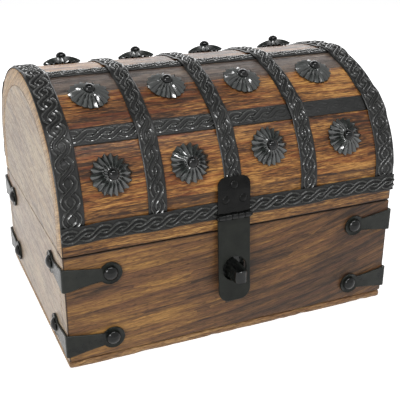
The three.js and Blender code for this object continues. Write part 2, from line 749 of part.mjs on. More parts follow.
// A back hinge: one leaf lies on the base, the other on the lid over its rail
function hingeLeaf(centreX, side, under, seats, firstKnuckle) {
  const half = hingeLeafWidth / 2;
  const near = hingeAxis.z + side * (hingeBarrelRadius + fitGap);
  const far = hingeAxis.z + side * hingeLeafHeight;
  const y0 = halfDepth + under;
  const y1 = y0 + hingeThickness;
  const plate = block(centreX - half, centreX + half, y0, y1, near, far);
  const tab = { y0, y1, z: near + side * fitGap };
  const turns = knuckles(
    hingeKnuckles, firstKnuckle, centreX, hingeLeafWidth, hingeAxis, hingeBarrelRadius, tab);
  const nails = seats.map((seat) => nail(seat, plateNailRadius, plateNailHeight));
  const bore = pinBore(centreX, hingeLeafWidth, hingeAxis, hingePinRadius);
  return join([cut(join([plate, ...turns]), [bore]), ...nails]);
}

function backHinges() {
  const hinges = new THREE.Group();
  ["left", "right"].forEach((name, i) => {
    const centreX = hingePlaces[i];
    const pin = hingePin(
      centreX, hingeLeafWidth, hingeAxis, hingePinRadius, hingePinHeadRadius, hingePinHeadLength);
    hinges.add(
      named(`hinge_${name}_lid_leaf`, hingeLeaf(centreX, 1, hingeUnder, lidHingeSeats[i], 1), haspIron),
      named(`hinge_${name}_base_leaf`, hingeLeaf(centreX, -1, fitGap, baseHingeSeats[i], 0), haspIron),
      named(`hinge_${name}_pin`, pin, haspIron),
    );
  });
  return hinges;
}

const studs = new THREE.Group();
studSeats.forEach((seat) => studs.add(named(seat.name, rosetteStud(seat), studIron)));
const brackets = new THREE.Group();
bracketCorners.forEach((corner) => brackets.add(named(corner.name, cornerBracket(corner), haspIron)));

const treasureBox = new THREE.Group();
treasureBox.add(baseBoards(), brackets, lidWoodwork(), lidStraps(), studs, haspSet(), backHinges());
export default treasureBox;
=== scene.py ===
import json
from math import acos, cos, pi, radians, sin

import bmesh
import bpy
import numpy as np
from mathutils import Matrix, Vector


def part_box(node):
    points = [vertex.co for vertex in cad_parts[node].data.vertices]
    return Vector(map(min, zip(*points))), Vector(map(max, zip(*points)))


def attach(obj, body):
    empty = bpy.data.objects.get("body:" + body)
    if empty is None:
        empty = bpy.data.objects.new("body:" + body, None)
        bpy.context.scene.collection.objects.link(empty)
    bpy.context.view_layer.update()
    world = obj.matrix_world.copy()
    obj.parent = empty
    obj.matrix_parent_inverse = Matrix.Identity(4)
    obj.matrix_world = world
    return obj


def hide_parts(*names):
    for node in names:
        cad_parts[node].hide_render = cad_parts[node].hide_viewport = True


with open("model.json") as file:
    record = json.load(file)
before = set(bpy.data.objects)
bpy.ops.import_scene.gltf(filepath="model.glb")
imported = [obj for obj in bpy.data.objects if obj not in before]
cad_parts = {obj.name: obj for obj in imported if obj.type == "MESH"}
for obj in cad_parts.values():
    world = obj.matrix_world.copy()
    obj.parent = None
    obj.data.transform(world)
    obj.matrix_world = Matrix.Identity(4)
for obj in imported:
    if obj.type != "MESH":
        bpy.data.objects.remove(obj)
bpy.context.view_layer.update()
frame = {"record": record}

# The studio
# A white room with a pale floor and a dim ceiling. Soft lamps stand at the left and behind, and a long
# narrow one hangs above and in front. The camera stands where the photograph was taken from.
camera_place = Vector((-0.17586, -0.41654, 0.24078))
camera_azimuth = radians(-23.92)
camera_elevation = radians(22.38)
camera_roll = radians(0.22)
camera_lens = 67.47
floor_half = 3.0
floor_grey = (0.86, 0.86, 0.86, 1)
floor_glow = 0.66
room_white = (1, 1, 1, 1)
room_fill = 0.33
ceiling_glow = 0.12
ceiling_edge, ceiling_middle = 0.55, 0.93
lamp_target = Vector((0, 0, 0.08))

scene = bpy.context.scene
scene.view_settings.view_transform = "Standard"
camera = bpy.data.objects.new("camera", bpy.data.cameras.new("camera"))
camera.data.lens = camera_lens
aimed = Matrix.Rotation(camera_azimuth, 4, "Z") @ Matrix.Rotation(pi / 2 - camera_elevation, 4, "X")
camera.matrix_world = Matrix.Translation(camera_place) @ aimed @ Matrix.Rotation(camera_roll, 4, "Z")
scene.collection.objects.link(camera)
scene.camera = camera


class Layer:
    """One socket of a finish. Python's operators on it add the Math nodes that they stand for."""

    def __init__(self, tree, socket=None):
        self.tree, self.socket = tree, socket

    def node(self, kind, settings=(), inputs=(), out=0):
        made = self.tree.nodes.new(kind)
        for name, value in dict(settings).items():
            if name == "stops":
                self.set_stops(made.color_ramp, value)
            else:
                setattr(made, name, value)
        for name, value in dict(inputs).items():
            if isinstance(value, Layer):
                self.tree.links.new(value.socket, made.inputs[name])
            else:
                made.inputs[name].default_value = value
        return Layer(self.tree, made.outputs[out] if made.outputs else None)

    def set_stops(self, ramp, stops):
        while len(ramp.elements) < len(stops):
            ramp.elements.new(1)
        for element, (place, colour) in zip(ramp.elements, stops):
            element.position, element.color = place, colour

    def also(self, out):
        return Layer(self.tree, self.socket.node.outputs[out])

    def maths(self, operation, *values):
        return self.node("ShaderNodeMath", {"operation": operation}, enumerate(values))

    def mixed(self, share, first, second, blend="MIX"):
        settings = {"data_type": "RGBA", "blend_type": blend}
        return self.node("ShaderNodeMix", settings, {0: share, 6: first, 7: second}, 2)

    def __add__(self, other):
        return self.maths("ADD", self, other)

    def __mul__(self, other):
        return self.maths("MULTIPLY", self, other)

    def __sub__(self, other):
        return self.maths("SUBTRACT", self, other)

    def __rsub__(self, other):
        return self.maths("SUBTRACT", other, self)


world = scene.world or bpy.data.worlds.new("room")
scene.world = world
world.use_nodes = True
world.node_tree.nodes.clear()
walls = Layer(world.node_tree)
ray = walls.node("ShaderNodeLightPath", out="Is Camera Ray")
seen = ray.maths("MAXIMUM", ray, ray.also("Is Glossy Ray"))
seen = seen.maths("MAXIMUM", seen, ray.also("Is Transmission Ray"))
plain_light = walls.node("ShaderNodeBackground", (), {"Color": room_white, "Strength": room_fill})
height = walls.node("ShaderNodeTexCoord", out="Generated")
height = walls.node("ShaderNodeSeparateXYZ", (), {0: height}, "Z")
ceiling = walls.node("ShaderNodeMapRange", {"interpolation_type": "SMOOTHSTEP"},
                     {"Value": height, "From Min": ceiling_edge, "From Max": ceiling_middle,
                      "To Min": 1.0, "To Max": ceiling_glow})
white = ray.maths("MAXIMUM", ray, ceiling)
seen_white = walls.node("ShaderNodeBackground", (), {"Color": room_white, "Strength": white})
walls = walls.node("ShaderNodeMixShader", (), {0: seen, 1: plain_light, 2: seen_white})
walls.node("ShaderNodeOutputWorld", (), {"Surface": walls})

floor_mesh = bpy.data.meshes.new("floor")
floor_corners = [(floor_half * a, floor_half * b, 0) for a, b in ((-1, -1), (1, -1), (1, 1), (-1, 1))]
floor_mesh.from_pydata(floor_corners, [], [(0, 1, 2, 3)])
floor = bpy.data.objects.new("floor", floor_mesh)
scene.collection.objects.link(floor)
floor_paint = bpy.data.materials.new("floor paint")
floor_paint.use_nodes = True
floor_paint.node_tree.nodes.clear()
painted = Layer(floor_paint.node_tree)
ray = painted.node("ShaderNodeLightPath", out="Is Camera Ray")
seen = ray.maths("MAXIMUM", ray, ray.also("Is Glossy Ray"))
matt = painted.node("ShaderNodeBsdfDiffuse", (), {"Color": floor_grey})
glow = painted.node("ShaderNodeEmission", (), {"Color": room_white, "Strength": seen * floor_glow})
both = painted.node("ShaderNodeAddShader", (), {0: matt, 1: glow})
both.node("ShaderNodeOutputMaterial", (), {"Surface": both})
floor_mesh.materials.append(floor_paint)


def lamp(name, towards, away, size, watts):
    """A soft lamp of a size and a power that shines on the box from a direction and a distance."""
    light = bpy.data.objects.new(name, bpy.data.lights.new(name, "AREA"))
    light.data.shape, light.data.size, light.data.size_y = "RECTANGLE", size[0], size[1]
    light.data.energy = watts
    direction = Vector(towards).normalized()
    light.location = lamp_target + direction * away
    light.rotation_mode = "QUATERNION"
    light.rotation_quaternion = direction.to_track_quat("Z", "Y")
    scene.collection.objects.link(light)


lamp("left lamp", (-0.75, -0.6, 0.38), 1.0, (0.26, 0.22), 4.4)
lamp("key lamp", (-0.02, -0.42, 0.9), 0.95, (0.85, 0.13), 5.3)
lamp("back lamp", (0.37, 0.85, 0.42), 1.1, (0.95, 0.5), 4.4)


# Base boards
# Four boards of stained hardwood, planed and lacquered, glued and nailed at the corners.
# The front and back boards run the full width, and the side boards fit between them.
half_width, half_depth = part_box("base_front")[1].x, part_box("base_back")[1].y
base_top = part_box("base_front")[1].z
board_edge = 0.0007
edge_steps = 4
board_step = 0.004
board_wear, side_wear = 0.5, 0.2
wear_rates = (130, 310, 730)
seam_fill = 0.0001
lid_gap = 0.0005
lid_seam = base_top + lid_gap / 2
# Painted shade darkens the wood near the lid's seam and the box's upright corners: its reach and its colour.
painted_shade_near, painted_shade_far = 0.0004, 0.0012
painted_shade_colour, pore_stain = "1d140e", "5c4433"
year_width = 0.0085
bow_start = 0.03
drift_width = 0.2
pore_depth = 0.00016
end_facing = 0.8
even_drift = ((0.0, 0.5), (1.0, 0.5))
even_fade = (0.0, 0.1, 0.0, 0.0)


def stain(text):
    """A linear colour from the six hex digits of the colour as it looks."""
    parts = [int(text[i:i + 2], 16) / 255 for i in (0, 2, 4)]
    return (*((p / 12.92 if p <= 0.04045 else ((p + 0.055) / 1.055) ** 2.4) for p in parts), 1.0)


def finish(name):
    """A new material with an empty node tree, and the layer to begin from."""
    material = bpy.data.materials.new(name)
    material.use_nodes = True
    material.node_tree.nodes.clear()
    return material, Layer(material.node_tree)


def coated(layer, settings, height, depth):
    """The lacquered surface itself, with the pores and dents of a height layer."""
    bump = layer.node("ShaderNodeBump", (), {"Strength": 1.0, "Distance": depth, "Height": height})
    skin = layer.node("ShaderNodeBsdfPrincipled", (), {**settings, "Normal": bump})
    skin.node("ShaderNodeOutputMaterial", (), {"Surface": skin})


def wood_finish(name, stains, run, seed, lean=0.0, bow=0.0, drift=even_drift, fade=even_fade, seam=None,
                gloss=0.06, blush="6f4a36", contrast=1.0, broad=0.8, fleck=1.7):
    """Stained wood under lacquer, with its grain along X or Y. Lean and bow turn the grain uphill.
    Drift lists how light the stain is along the board, and fade how much lighter it gets from
    one height to another. Painted shade darkens the wood at the height of a seam and along the
    board's upright corners. Broad and fleck say how strong the broadest and the finest marks are."""
    material, wood = finish(name)
    place = wood.node("ShaderNodeTexCoord", out="Object")
    x = wood.node("ShaderNodeSeparateXYZ", (), {0: place}, "X")
    y, z = x.also("Y"), x.also("Z")
    along, depth = (x, y) if run == "X" else (y, x)
    past = along.maths("MAXIMUM", along + bow_start, 0.0)
    across = z - along * lean - past * past * bow

    def grain(length, width, detail, rough=0.55, swirl=0.0):
        """Noise drawn out along the grain into marks of about this length and width."""
        spot = wood.node("ShaderNodeCombineXYZ", (), {0: along * (1 / length) + seed,
                                                      1: depth * (1 / width) + seed * 1.7,
                                                      2: across * (1 / width) + seed * 3.1})
        return wood.node("ShaderNodeTexNoise", (), {"Vector": spot, "Scale": 1.0, "Detail": detail,
                                                    "Roughness": rough, "Distortion": swirl}, "Fac")

    def between(value, low, high, low_share, high_share):
        """A share that goes smoothly from one value to another as a layer goes from low to high."""
        limits = {"Value": value, "From Min": low, "From Max": high, "To Min": low_share,
                  "To Max": high_share}
        return wood.node("ShaderNodeMapRange", {"interpolation_type": "SMOOTHSTEP"}, limits)

    figure = grain(0.09, 0.0050, 2.0, 0.5, 0.6)
    streak = grain(0.022, 0.0011, 3.0, 0.6, 0.3)
    dashes = grain(0.006, 0.00055, 2.0, 0.65)
    pores = grain(0.0035, 0.0003, 1.0, 0.5)
    cloud = grain(0.045, 0.016, 2.0, 0.5)
    tint = grain(0.03, 0.0020, 2.0, 0.6)
    years = wood.maths("FRACT", (across + depth) * (1 / year_width) + figure * 1.3 + cloud * 1.5)
    shade = wood.node("ShaderNodeValToRGB", {"stops": [(at, (v, v, v, 1)) for at, v in drift]},
                      {0: along * (1 / drift_width) + 0.5})
    marks = (figure - 0.5) * broad + (streak - 0.5) * 1.1 + (dashes - 0.5) * fleck + (cloud - 0.5) * 0.9
    late_wood = years.maths("POWER", years, 7.0) * 0.34
    tone = (marks - late_wood) * contrast + shade + between(z, *fade) + 0.02
    colour = wood.node("ShaderNodeValToRGB", {"stops": [(at, stain(dye)) for at, dye in stains]}, {0: tone})
    colour = wood.mixed(between(tint, 0.46, 0.66, 0.0, 0.36), colour, stain(blush))
    pits = between(pores, 0.56, 0.7, 0.0, 0.7)
    colour = wood.mixed(pits, colour, stain(pore_stain), "MULTIPLY")
    # Painted shade in the seam's gap and on the rounded upright corners, where shade falls.
    if seam:
        off = wood.maths("ABSOLUTE", z - seam)
        seam_shade = between(off, painted_shade_near, painted_shade_far, 0.9, 0.0)
        side = wood.maths("ABSOLUTE", x)
        corner = between(side, half_width - painted_shade_far, half_width - painted_shade_near, 0.0, 0.85)
        colour = wood.mixed(seam_shade.maths("MAXIMUM", seam_shade, corner), colour, stain(painted_shade_colour))
    coated(wood, {"Base Color": colour, "Roughness": 0.62 - dashes * 0.3, "Coat Weight": gloss,
                  "Coat Roughness": 0.3, "Specular IOR Level": 0.25},
           dashes * 0.6 + streak * 0.5 - pits * 0.5, pore_depth)
    return material


def rounded_block(low, high, edge, run, wear, seed):
    """Rings round a block with rounded and worn edges, one after another along its run axis."""
    side, up = (run + 1) % 3, (run + 2) % 3
    turn = np.linspace(0, pi / 2, edge_steps)
    start = [(low[run] + edge * (1 - cos(t)), sin(t)) for t in turn]
    count = max(2, round((high[run] - low[run]) / board_step))
    middle = [(at, 1.0) for at in np.linspace(low[run] + edge, high[run] - edge, count)[1:-1]]
    far_end = [(low[run] + high[run] - at, share) for at, share in start[::-1]]
    dents = np.random.default_rng(seed).uniform(0, 2 * pi, (4, len(wear_rates)))
    rings = []
    for at, share in [*start, *middle, *far_end]:
        inset, ring = edge * (1 - share), []
        for k, (a, b) in enumerate([(1, 1), (0, 1), (0, 0), (1, 0)]):
            swell = sum(sin(at * rate + dents[k][i]) for i, rate in enumerate(wear_rates))
            radius = edge * share * (1 + wear * max(0.0, swell))
            centre_a = (high[side] - inset - radius) if a else (low[side] + inset + radius)
            centre_b = (high[up] - inset - radius) if b else (low[up] + inset + radius)
            for t in turn:
                angle = t + k * pi / 2
                point = [0.0, 0.0, 0.0]
                point[run] = at
                point[side] = centre_a + radius * cos(angle)
                point[up] = centre_b + radius * sin(angle)
                ring.append(point)
        rings.append(ring)
    return rings


def shell(rings, joined=False, paint=0):
    """Points and faces over rings of points, closed by flat ends or joined round, and their paint."""
    rings = np.asarray(rings, float)
    stations, points = rings.shape[:2]
    index = np.arange(stations * points).reshape(stations, points)
    rows = np.vstack([index, index[:1]]) if joined else index
    beside = np.roll(rows, -1, axis=1)
    faces = np.stack([rows[:-1], beside[:-1], beside[1:], rows[1:]], axis=-1).reshape(-1, 4).tolist()
    if not joined:
        faces += [index[0][::-1].tolist(), index[-1].tolist()]
    return rings.reshape(-1, 3), faces, paint


def piece(name, shells, finishes, body, node, crease=radians(38), relief=None):
    """One object from closed shells, which rides on a body and stands for a node of the solids."""
    points, faces, paints, count = [], [], [], 0
    for at, around, paint in shells:
        points.append(at)
        faces += [[count + v for v in face] for face in around]
        paints += [paint] * len(around)
        count += len(at)
    mesh = bpy.data.meshes.new(name)
    mesh.from_pydata(np.vstack(points).tolist(), [], faces)
    mesh.polygons.foreach_set("material_index", paints)
    turned_out = bmesh.new()
    turned_out.from_mesh(mesh)
    bmesh.ops.recalc_face_normals(turned_out, faces=turned_out.faces)
    turned_out.to_mesh(mesh)
    turned_out.free()
    mesh.shade_smooth()
    mesh.set_sharp_from_angle(angle=crease)
    if relief is not None:
        mesh.attributes.new("relief", "FLOAT", "POINT").data.foreach_set("value", np.ravel(relief))
    for paint in finishes:
        mesh.materials.append(paint)
    made = bpy.data.objects.new(name, mesh)
    scene.collection.objects.link(made)
    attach(made, body)
    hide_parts(node)
    return made


def paint_ends(made):
    """The board's sawn ends take its second finish."""
    for face in made.data.polygons:
        face.material_index = int(abs(face.normal.x) > end_facing)


base_stains = [(0.05, "2b1e15"), (0.28, "4b3522"), (0.48, "68492d"), (0.66, "805d35"), (0.9, "a67c44")]
# The box's sides and end faces take paler stains than its front. These paint in part of the strong light that
# falls on the left end.
pale_lit_end_stains = [(0.05, "695a4d"), (0.3, "857465"), (0.55, "998773"), (0.9, "ac9a7e")]
arch_stains = [(0.05, "654b30"), (0.35, "8a6a40"), (0.65, "a38152"), (0.95, "b9986a")]
front_drift = [(0.0, 0.56), (0.3, 0.51), (0.52, 0.4), (0.66, 0.34), (0.9, 0.28), (1.0, 0.34)]
side_drift = [(0.0, 0.55), (1.0, 0.45)]
front_wood = wood_finish("base front wood", base_stains, "X", 1.7, 0.06, 1.0, front_drift, seam=lid_seam,
                         contrast=0.85, broad=1.3, fleck=0.9)
back_wood = wood_finish("base back wood", base_stains, "X", 8.2, -0.02, 0.0, seam=lid_seam, broad=1.6,
                        fleck=0.8)
side_wood = wood_finish("side wood", pale_lit_end_stains, "Y", 4.4, 0.2, 0.0, side_drift, gloss=0.3, blush="a5826a",
                        contrast=1.1)
arch_wood = wood_finish("stave end wood", arch_stains, "Y", 6.6, -0.5, 0.0, gloss=0.2, blush="94704a",
                        contrast=0.9)
for name, face_wood, seed in (("front", front_wood, 1), ("back", back_wood, 2)):
    low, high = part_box("base_" + name)
    low.z -= seam_fill
    rings = rounded_block(low, high, board_edge, 0, board_wear, seed)
    paint_ends(piece(f"base_board_{name}", [shell(rings)], [face_wood, side_wood], "base",
                     "base_" + name))
for name, seed in (("left", 3), ("right", 4)):
    low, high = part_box("base_" + name)
    low.y, high.y, low.z = low.y - seam_fill, high.y + seam_fill, low.z - seam_fill
    rings = rounded_block(low, high, board_edge / 2, 1, side_wear, seed)
    piece(f"base_board_{name}", [shell(rings)], [side_wood], "base", "base_" + name)


# Floor board
# A thin board of paler wood, nailed on from below, whose edges show as a strip round the base.
# Its edges are rounded by wear.
floor_edge = 0.0016
floor_wear = 0.3
floor_seed = 5
floor_stains = [(0.1, "5a4029"), (0.45, "80603f"), (0.8, "a58358")]
floor_wood = wood_finish("floor wood", floor_stains, "X", 6.1)
low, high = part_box("base_floor")
rings = rounded_block(low, high, floor_edge, 0, floor_wear, floor_seed)
paint_ends(piece("floor_board", [shell(rings)], [floor_wood, arch_wood], "base", "base_floor"))


# Lid boards and staves
# A straight board at the front and back, and six staves laid over the arched ends, all glued edge to
# edge. They are planed to one smooth arch and lacquered.
lid_board_thickness = 0.0096
lid_rise, wall_rise = 0.0812, 0.024
ridge_height = base_top + lid_rise
shoulder_height = base_top + wall_rise
shoulder_start, shoulder_end = radians(8), radians(45)
stave_joints = [0.0645, 0.0345, 0.012, -0.0345, -0.0645]
stave_groove = 0.00014
stave_step = 0.0018
lid_end_edge = 0.0005
lid_stations = 60
plank_lean, plank_gloss = 0.02, 0.12

arc_terms = np.array([[cos(shoulder_start) - cos(shoulder_end), cos(shoulder_end)],
                      [sin(shoulder_end) - sin(shoulder_start), 1 - sin(shoulder_end)]])
shoulder_radius, crown_radius = np.linalg.solve(arc_terms, [half_depth, ridge_height - shoulder_height])
crown_girth = crown_radius * (pi / 2 - shoulder_end)
half_girth = crown_girth + shoulder_radius * (shoulder_end - shoulder_start)


def over_lid(x, girth, lift):
    """Points over the lid at x, at a girth from the ridge (positive to the front) and a lift."""
    x, girth, lift = np.broadcast_arrays(np.asarray(x, float), girth, lift)
    side = np.where(girth < 0, 1.0, -1.0)
    run = np.abs(girth)
    step = crown_radius - shoulder_radius
    crown = pi / 2 - run / crown_radius
    shoulder = shoulder_end - (run - crown_girth) / shoulder_radius
    crown_y, crown_z = (crown_radius + lift) * np.cos(crown), (crown_radius + lift) * np.sin(crown)
    shoulder_y = step * cos(shoulder_end) + (shoulder_radius + lift) * np.cos(shoulder)
    shoulder_z = step * sin(shoulder_end) + (shoulder_radius + lift) * np.sin(shoulder)
    y = np.where(run <= crown_girth, crown_y, np.where(run <= half_girth, shoulder_y, half_depth + lift))
    z = np.where(run <= crown_girth, crown_z, shoulder_z) + ridge_height - crown_radius
    z = np.where(run <= half_girth, z, shoulder_height + half_girth - run)
    return np.stack([x, side * y, z], axis=-1)


def end_to_end(outline):
    """Rings of one outline, given by inset, along the lid's whole width with softened ends."""
    stations = [(0.0, lid_end_edge), (lid_end_edge * 0.3, lid_end_edge * 0.3), (lid_end_edge, 0.0)]
    xs = [(-half_width + at, inset) for at, inset in stations]
    xs += [(x, 0.0) for x in np.linspace(-half_width, half_width, lid_stations)[1:-1]]
    xs += [(half_width - at, inset) for at, inset in stations[::-1]]
    return [outline(x, inset) for x, inset in xs]


def stave(start, end):
    """Rings of the stave between two girths, with a fine groove at each joint."""
    def outline(x, inset):
        girths = np.linspace(start, end, max(4, round(abs(end - start) / stave_step)))
        groove = np.where((girths == start) | (girths == end), stave_groove, 0)
        outer = over_lid(x, girths, -groove - inset)
        inner = over_lid(x, girths[::-1], -lid_board_thickness + inset)
        return np.vstack([outer, inner])
    return end_to_end(outline)


def lid_board(side):
    """Rings of the upright board at the lid's front or back, with its lower outer edge rounded."""
    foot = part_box("lid_board_front" if side < 0 else "lid_board_back")[0].z
    top_back = over_lid(0, half_girth, -lid_board_thickness)[2]

    def outline(x, inset):
        front, back = half_depth - inset, half_depth - lid_board_thickness + inset
        edge = board_edge
        shape = [(front, foot + edge + inset), (front - edge * 0.3, foot + edge * 0.3 + inset),
                 (front - edge, foot + inset), (back, foot + inset), (back, top_back - inset),
                 (front, shoulder_height - inset)]
        return [(x, side * y, z) for y, z in shape]
    return end_to_end(outline)


lid_stains = [(0.05, "27170d"), (0.27, "4a2e18"), (0.46, "6c4626"), (0.64, "8a5f33"), (0.9, "b7874a")]
gold_stains = [(0.05, "311d0f"), (0.27, "5d3a1b"), (0.46, "80572b"), (0.64, "9b703b"), (0.9, "c39756")]
# Stave 3's greyer stains paint in the grey sheen of light on the lid's upper slope.
grey_sheen_stains = [(0.08, "2d2622"), (0.33, "443a35"), (0.58, "594e46"), (0.88, "756454")]
board_drift = [(0.0, 0.26), (0.3, 0.3), (0.48, 0.5), (0.75, 0.44), (1.0, 0.3)]
board_fade = (0.074, 0.091, 0.05, -0.12)
low_drift = [(0.0, 0.3), (0.25, 0.36), (0.5, 0.52), (0.75, 0.44), (1.0, 0.28)]
low_fade = (0.094, 0.108, 0.2, 0.0)
mid_drift = [(0.0, 0.4), (0.5, 0.27), (0.72, 0.54), (0.85, 0.64), (1.0, 0.46)]
top_drift = [(0.0, 0.44), (0.5, 0.44), (1.0, 0.58)]
ridge_drift = [(0.0, 0.56), (0.4, 0.44), (1.0, 0.2)]
# The grey blush paints the same sheen on stave 3.
lid_red, lid_tan, grey_sheen_blush = "84401f", "8a6238", "5f4a40"
plank_looks = [
    ("lid board front wood", gold_stains, 2.3, board_drift, board_fade, lid_seam, lid_tan),
    ("stave 1 wood", lid_stains, 5.1, low_drift, low_fade, None, lid_red),
    ("stave 2 wood", lid_stains, 9.4, mid_drift, even_fade, None, lid_red),
    ("stave 3 wood", grey_sheen_stains, 3.3, top_drift, even_fade, None, grey_sheen_blush),
    ("stave 4 wood", lid_stains, 7.7, ridge_drift, even_fade, None, lid_tan),
    ("stave 5 wood", lid_stains, 12.5, even_drift, even_fade, None, lid_red),
    ("stave 6 wood", lid_stains, 14.9, even_drift, low_fade, None, lid_red),
    ("lid board back wood", base_stains, 11.1, even_drift, board_fade, lid_seam, lid_tan),
]
plank_woods = [wood_finish(name, stains, "X", seed, plank_lean, 0.0, drift, fade, seam, plank_gloss, blush)
               for name, stains, seed, drift, fade, seam, blush in plank_looks]
joints = [half_girth, *stave_joints, -half_girth]
for name, side, wood in (("front", -1, plank_woods[0]), ("back", 1, plank_woods[7])):
    paint_ends(piece("lid_plank_" + name, [shell(lid_board(side))], [wood, arch_wood], "lid",
                     "lid_board_" + name))
for i, (start, end) in enumerate(zip(joints, joints[1:]), 1):
    paint_ends(piece(f"lid_plank_{i}", [shell(stave(start, end))], [plank_woods[i], arch_wood], "lid",
                     f"lid_stave_{i}"))


# Lid ends
# An arched panel in each end of the lid, flush with the ends of the staves, stained as pale as the base's
# sides, which paints in part of the light on the left end.
# It is glued in, so only a fine line shows round it.
panel_edge = 0.0003
panel_steps = 90


def lid_end(side):
    """Rings of the panel from its outer face inwards."""
    rings = []
    for depth, inset in ((0.0, panel_edge), (panel_edge, 0.0), (lid_board_thickness, 0.0)):
        x = side * (half_width - depth)
        arch = over_lid(x, np.linspace(half_girth, -half_girth, panel_steps), -lid_board_thickness - inset)
        foot_y = half_depth - lid_board_thickness - inset
        foot_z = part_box("lid_end_left")[0].z + inset
        rings.append(np.vstack([arch, (x, foot_y, foot_z), (x, -foot_y, foot_z)]))
    return rings


end_fade = (0.085, 0.125, 0.0, 0.12)
lid_end_wood = wood_finish("lid end wood", pale_lit_end_stains, "Y", 2.9, 0.22, 0.0, side_drift, end_fade, gloss=0.2,
                           blush="a5845c", contrast=1.3)
for name, side in (("left", -1), ("right", 1)):
    piece(f"lid_panel_{name}", [shell(lid_end(side))], [lid_end_wood], "lid", "lid_end_" + name)


# Iron bands, strips and rails
# Straps of thin sheet iron, rolled with a raised two-strand twist and black lacquer over it.
# Five bands cross the lid, the strips run under them, and the rails lie over their ends.
strap_sheet = 0.00045
strap_under = 0.0003
strap_over = 0.0015
relief_height = 0.00095
strip_relief_height = 0.0007
bead_height = 0.00018
twist_pitch = 0.00925
strand_margin = 0.0028
line_spread = 0.00122
line_half = 0.00062
eye_radius, eye_rise = 0.0007, 0.2
rim_width = 0.0004
bead_inset, bead_half = 0.0007, 0.0006
flat_share = 0.16
ramp_length = 0.007
strap_step = 0.00034
speck_scale, patch_scale = 900.0, 150.0
speck_rub, patch_rub, hollow_rub = 0.1, 0.22, 0.45
glint_rough = 0.06


def twist(along, across, half, hand):
    """Height of the pressed twist, from 0 to 1, and how strongly painted shade darkens the flat ground
    beside it. Two strands of double lines wind round each other, and the one that climbs to the hand's
    side is on top."""
    swing = half - strand_margin
    phase = pi * along * hand / twist_pitch
    lines, covers, line_shades = [], [], []
    for sign in (1, -1):
        slope = sign * swing * pi / twist_pitch * np.cos(phase)
        off = np.abs(across - sign * swing * np.sin(phase)) / np.sqrt(1 + slope ** 2)
        line = np.clip(1.45 - 1.45 * np.abs(off - line_spread) / line_half, 0, 1)
        lines.append(line * line * (3 - 2 * line))
        covers.append((off < line_spread + line_half * 1.3) & (slope > 0))
        line_shades.append(np.clip((line_spread + line_half * 2.4 - off) / (line_half * 1.2), 0, 1))
    height = np.maximum(np.where(covers[1], 0, lines[0]), np.where(covers[0], 0, lines[1]))
    eye = np.hypot((np.mod(phase / pi, 1) - 0.5) * twist_pitch, across) / eye_radius
    return np.maximum(height, eye_rise * np.clip(1.3 - eye, 0, 1)), np.maximum(*line_shades)


def climb(along, crossings):
    """Lift of a strap's underside, raised over each strap that it crosses."""
    lift = np.zeros_like(along)
    for at, half in crossings:
        edge = np.clip((half + ramp_length - np.abs(along - at)) / ramp_length, 0, 1)
        lift = np.maximum(lift, edge * edge * (3 - 2 * edge))
    return strap_under + (strap_over - strap_under) * lift


def strap(place, start, end, half, under, press, hand, height=relief_height):
    """Rings of a strap from start to end, with a pressed face and a flat back, and their relief.
    Place puts along, across and lift on the lid, under gives the underside's lift along the strap
    and press how strongly the twist is pressed there."""
    along = np.linspace(start, end, round(abs(end - start) / strap_step))
    across = np.linspace(-half, half, round(2 * half / strap_step) + 1)
    s, v = np.meshgrid(along, across, indexing="ij")
    rim = np.clip((half - np.abs(v)) / rim_width, 0, 1)
    bead = np.clip(1 - np.abs(half - bead_inset - np.abs(v)) / bead_half, 0, 1)
    lines, hollow_shade = twist(s, v, half, hand)
    raised = lines * press(s)
    face = strap_sheet * (0.5 + 0.5 * np.sqrt(rim)) + raised * height + bead * bead_height
    lift = under(along)[:, None]
    top = place(s, v, lift + face)
    back = place(along[:, None], np.array([[half, -half]]), lift + np.zeros((1, 2)))
    # Share of the iron's own colour, with painted shade making up the rest. It is all own colour on the
    # raised lines, whose lacquer is worn, little on the flat ground and none right beside the lines.
    worn = np.maximum(raised, flat_share * (1 - hollow_shade * press(s)))
    relief = np.concatenate([worn, np.zeros((len(along), 2))], axis=1)
    return np.concatenate([top, back], axis=1), relief


def iron_finish(name, dull, bright, rough, shine, dents, hollow_shade=None, glint=0.0):
    """Black lacquer over iron, with small dents. A dark colour paints shade into the low parts of its
    relief, and glint says how much clear coat shines on the high parts."""
    material, iron = finish(name)
    place = iron.node("ShaderNodeTexCoord", out="Object")
    speck = iron.node("ShaderNodeTexNoise", (), {"Vector": place, "Scale": speck_scale, "Detail": 3.0}, "Fac")
    patch = iron.node("ShaderNodeTexNoise", (), {"Vector": place, "Scale": patch_scale, "Detail": 4.0}, "Fac")
    share = iron.node("ShaderNodeMapRange", (), {"Value": patch, "From Min": 0.35, "From Max": 0.65})
    colour = iron.mixed(share, stain(dull), stain(bright))
    rubbed = patch * patch_rub + speck * speck_rub + (rough - (patch_rub + speck_rub) / 2)
    coat = 0.0
    if hollow_shade:
        raised = iron.node("ShaderNodeAttribute", {"attribute_name": "relief"}, (), "Fac")
        colour = iron.mixed(raised, stain(hollow_shade), colour)
        low = 1 - raised
        rubbed = rubbed + low * low * hollow_rub
        coat = raised * raised * glint
    coated(iron, {"Base Color": colour, "Roughness": rubbed, "Specular IOR Level": shine,
                  "Coat Weight": coat, "Coat Roughness": glint_rough},
           speck * 0.35 + patch, dents)
    return material


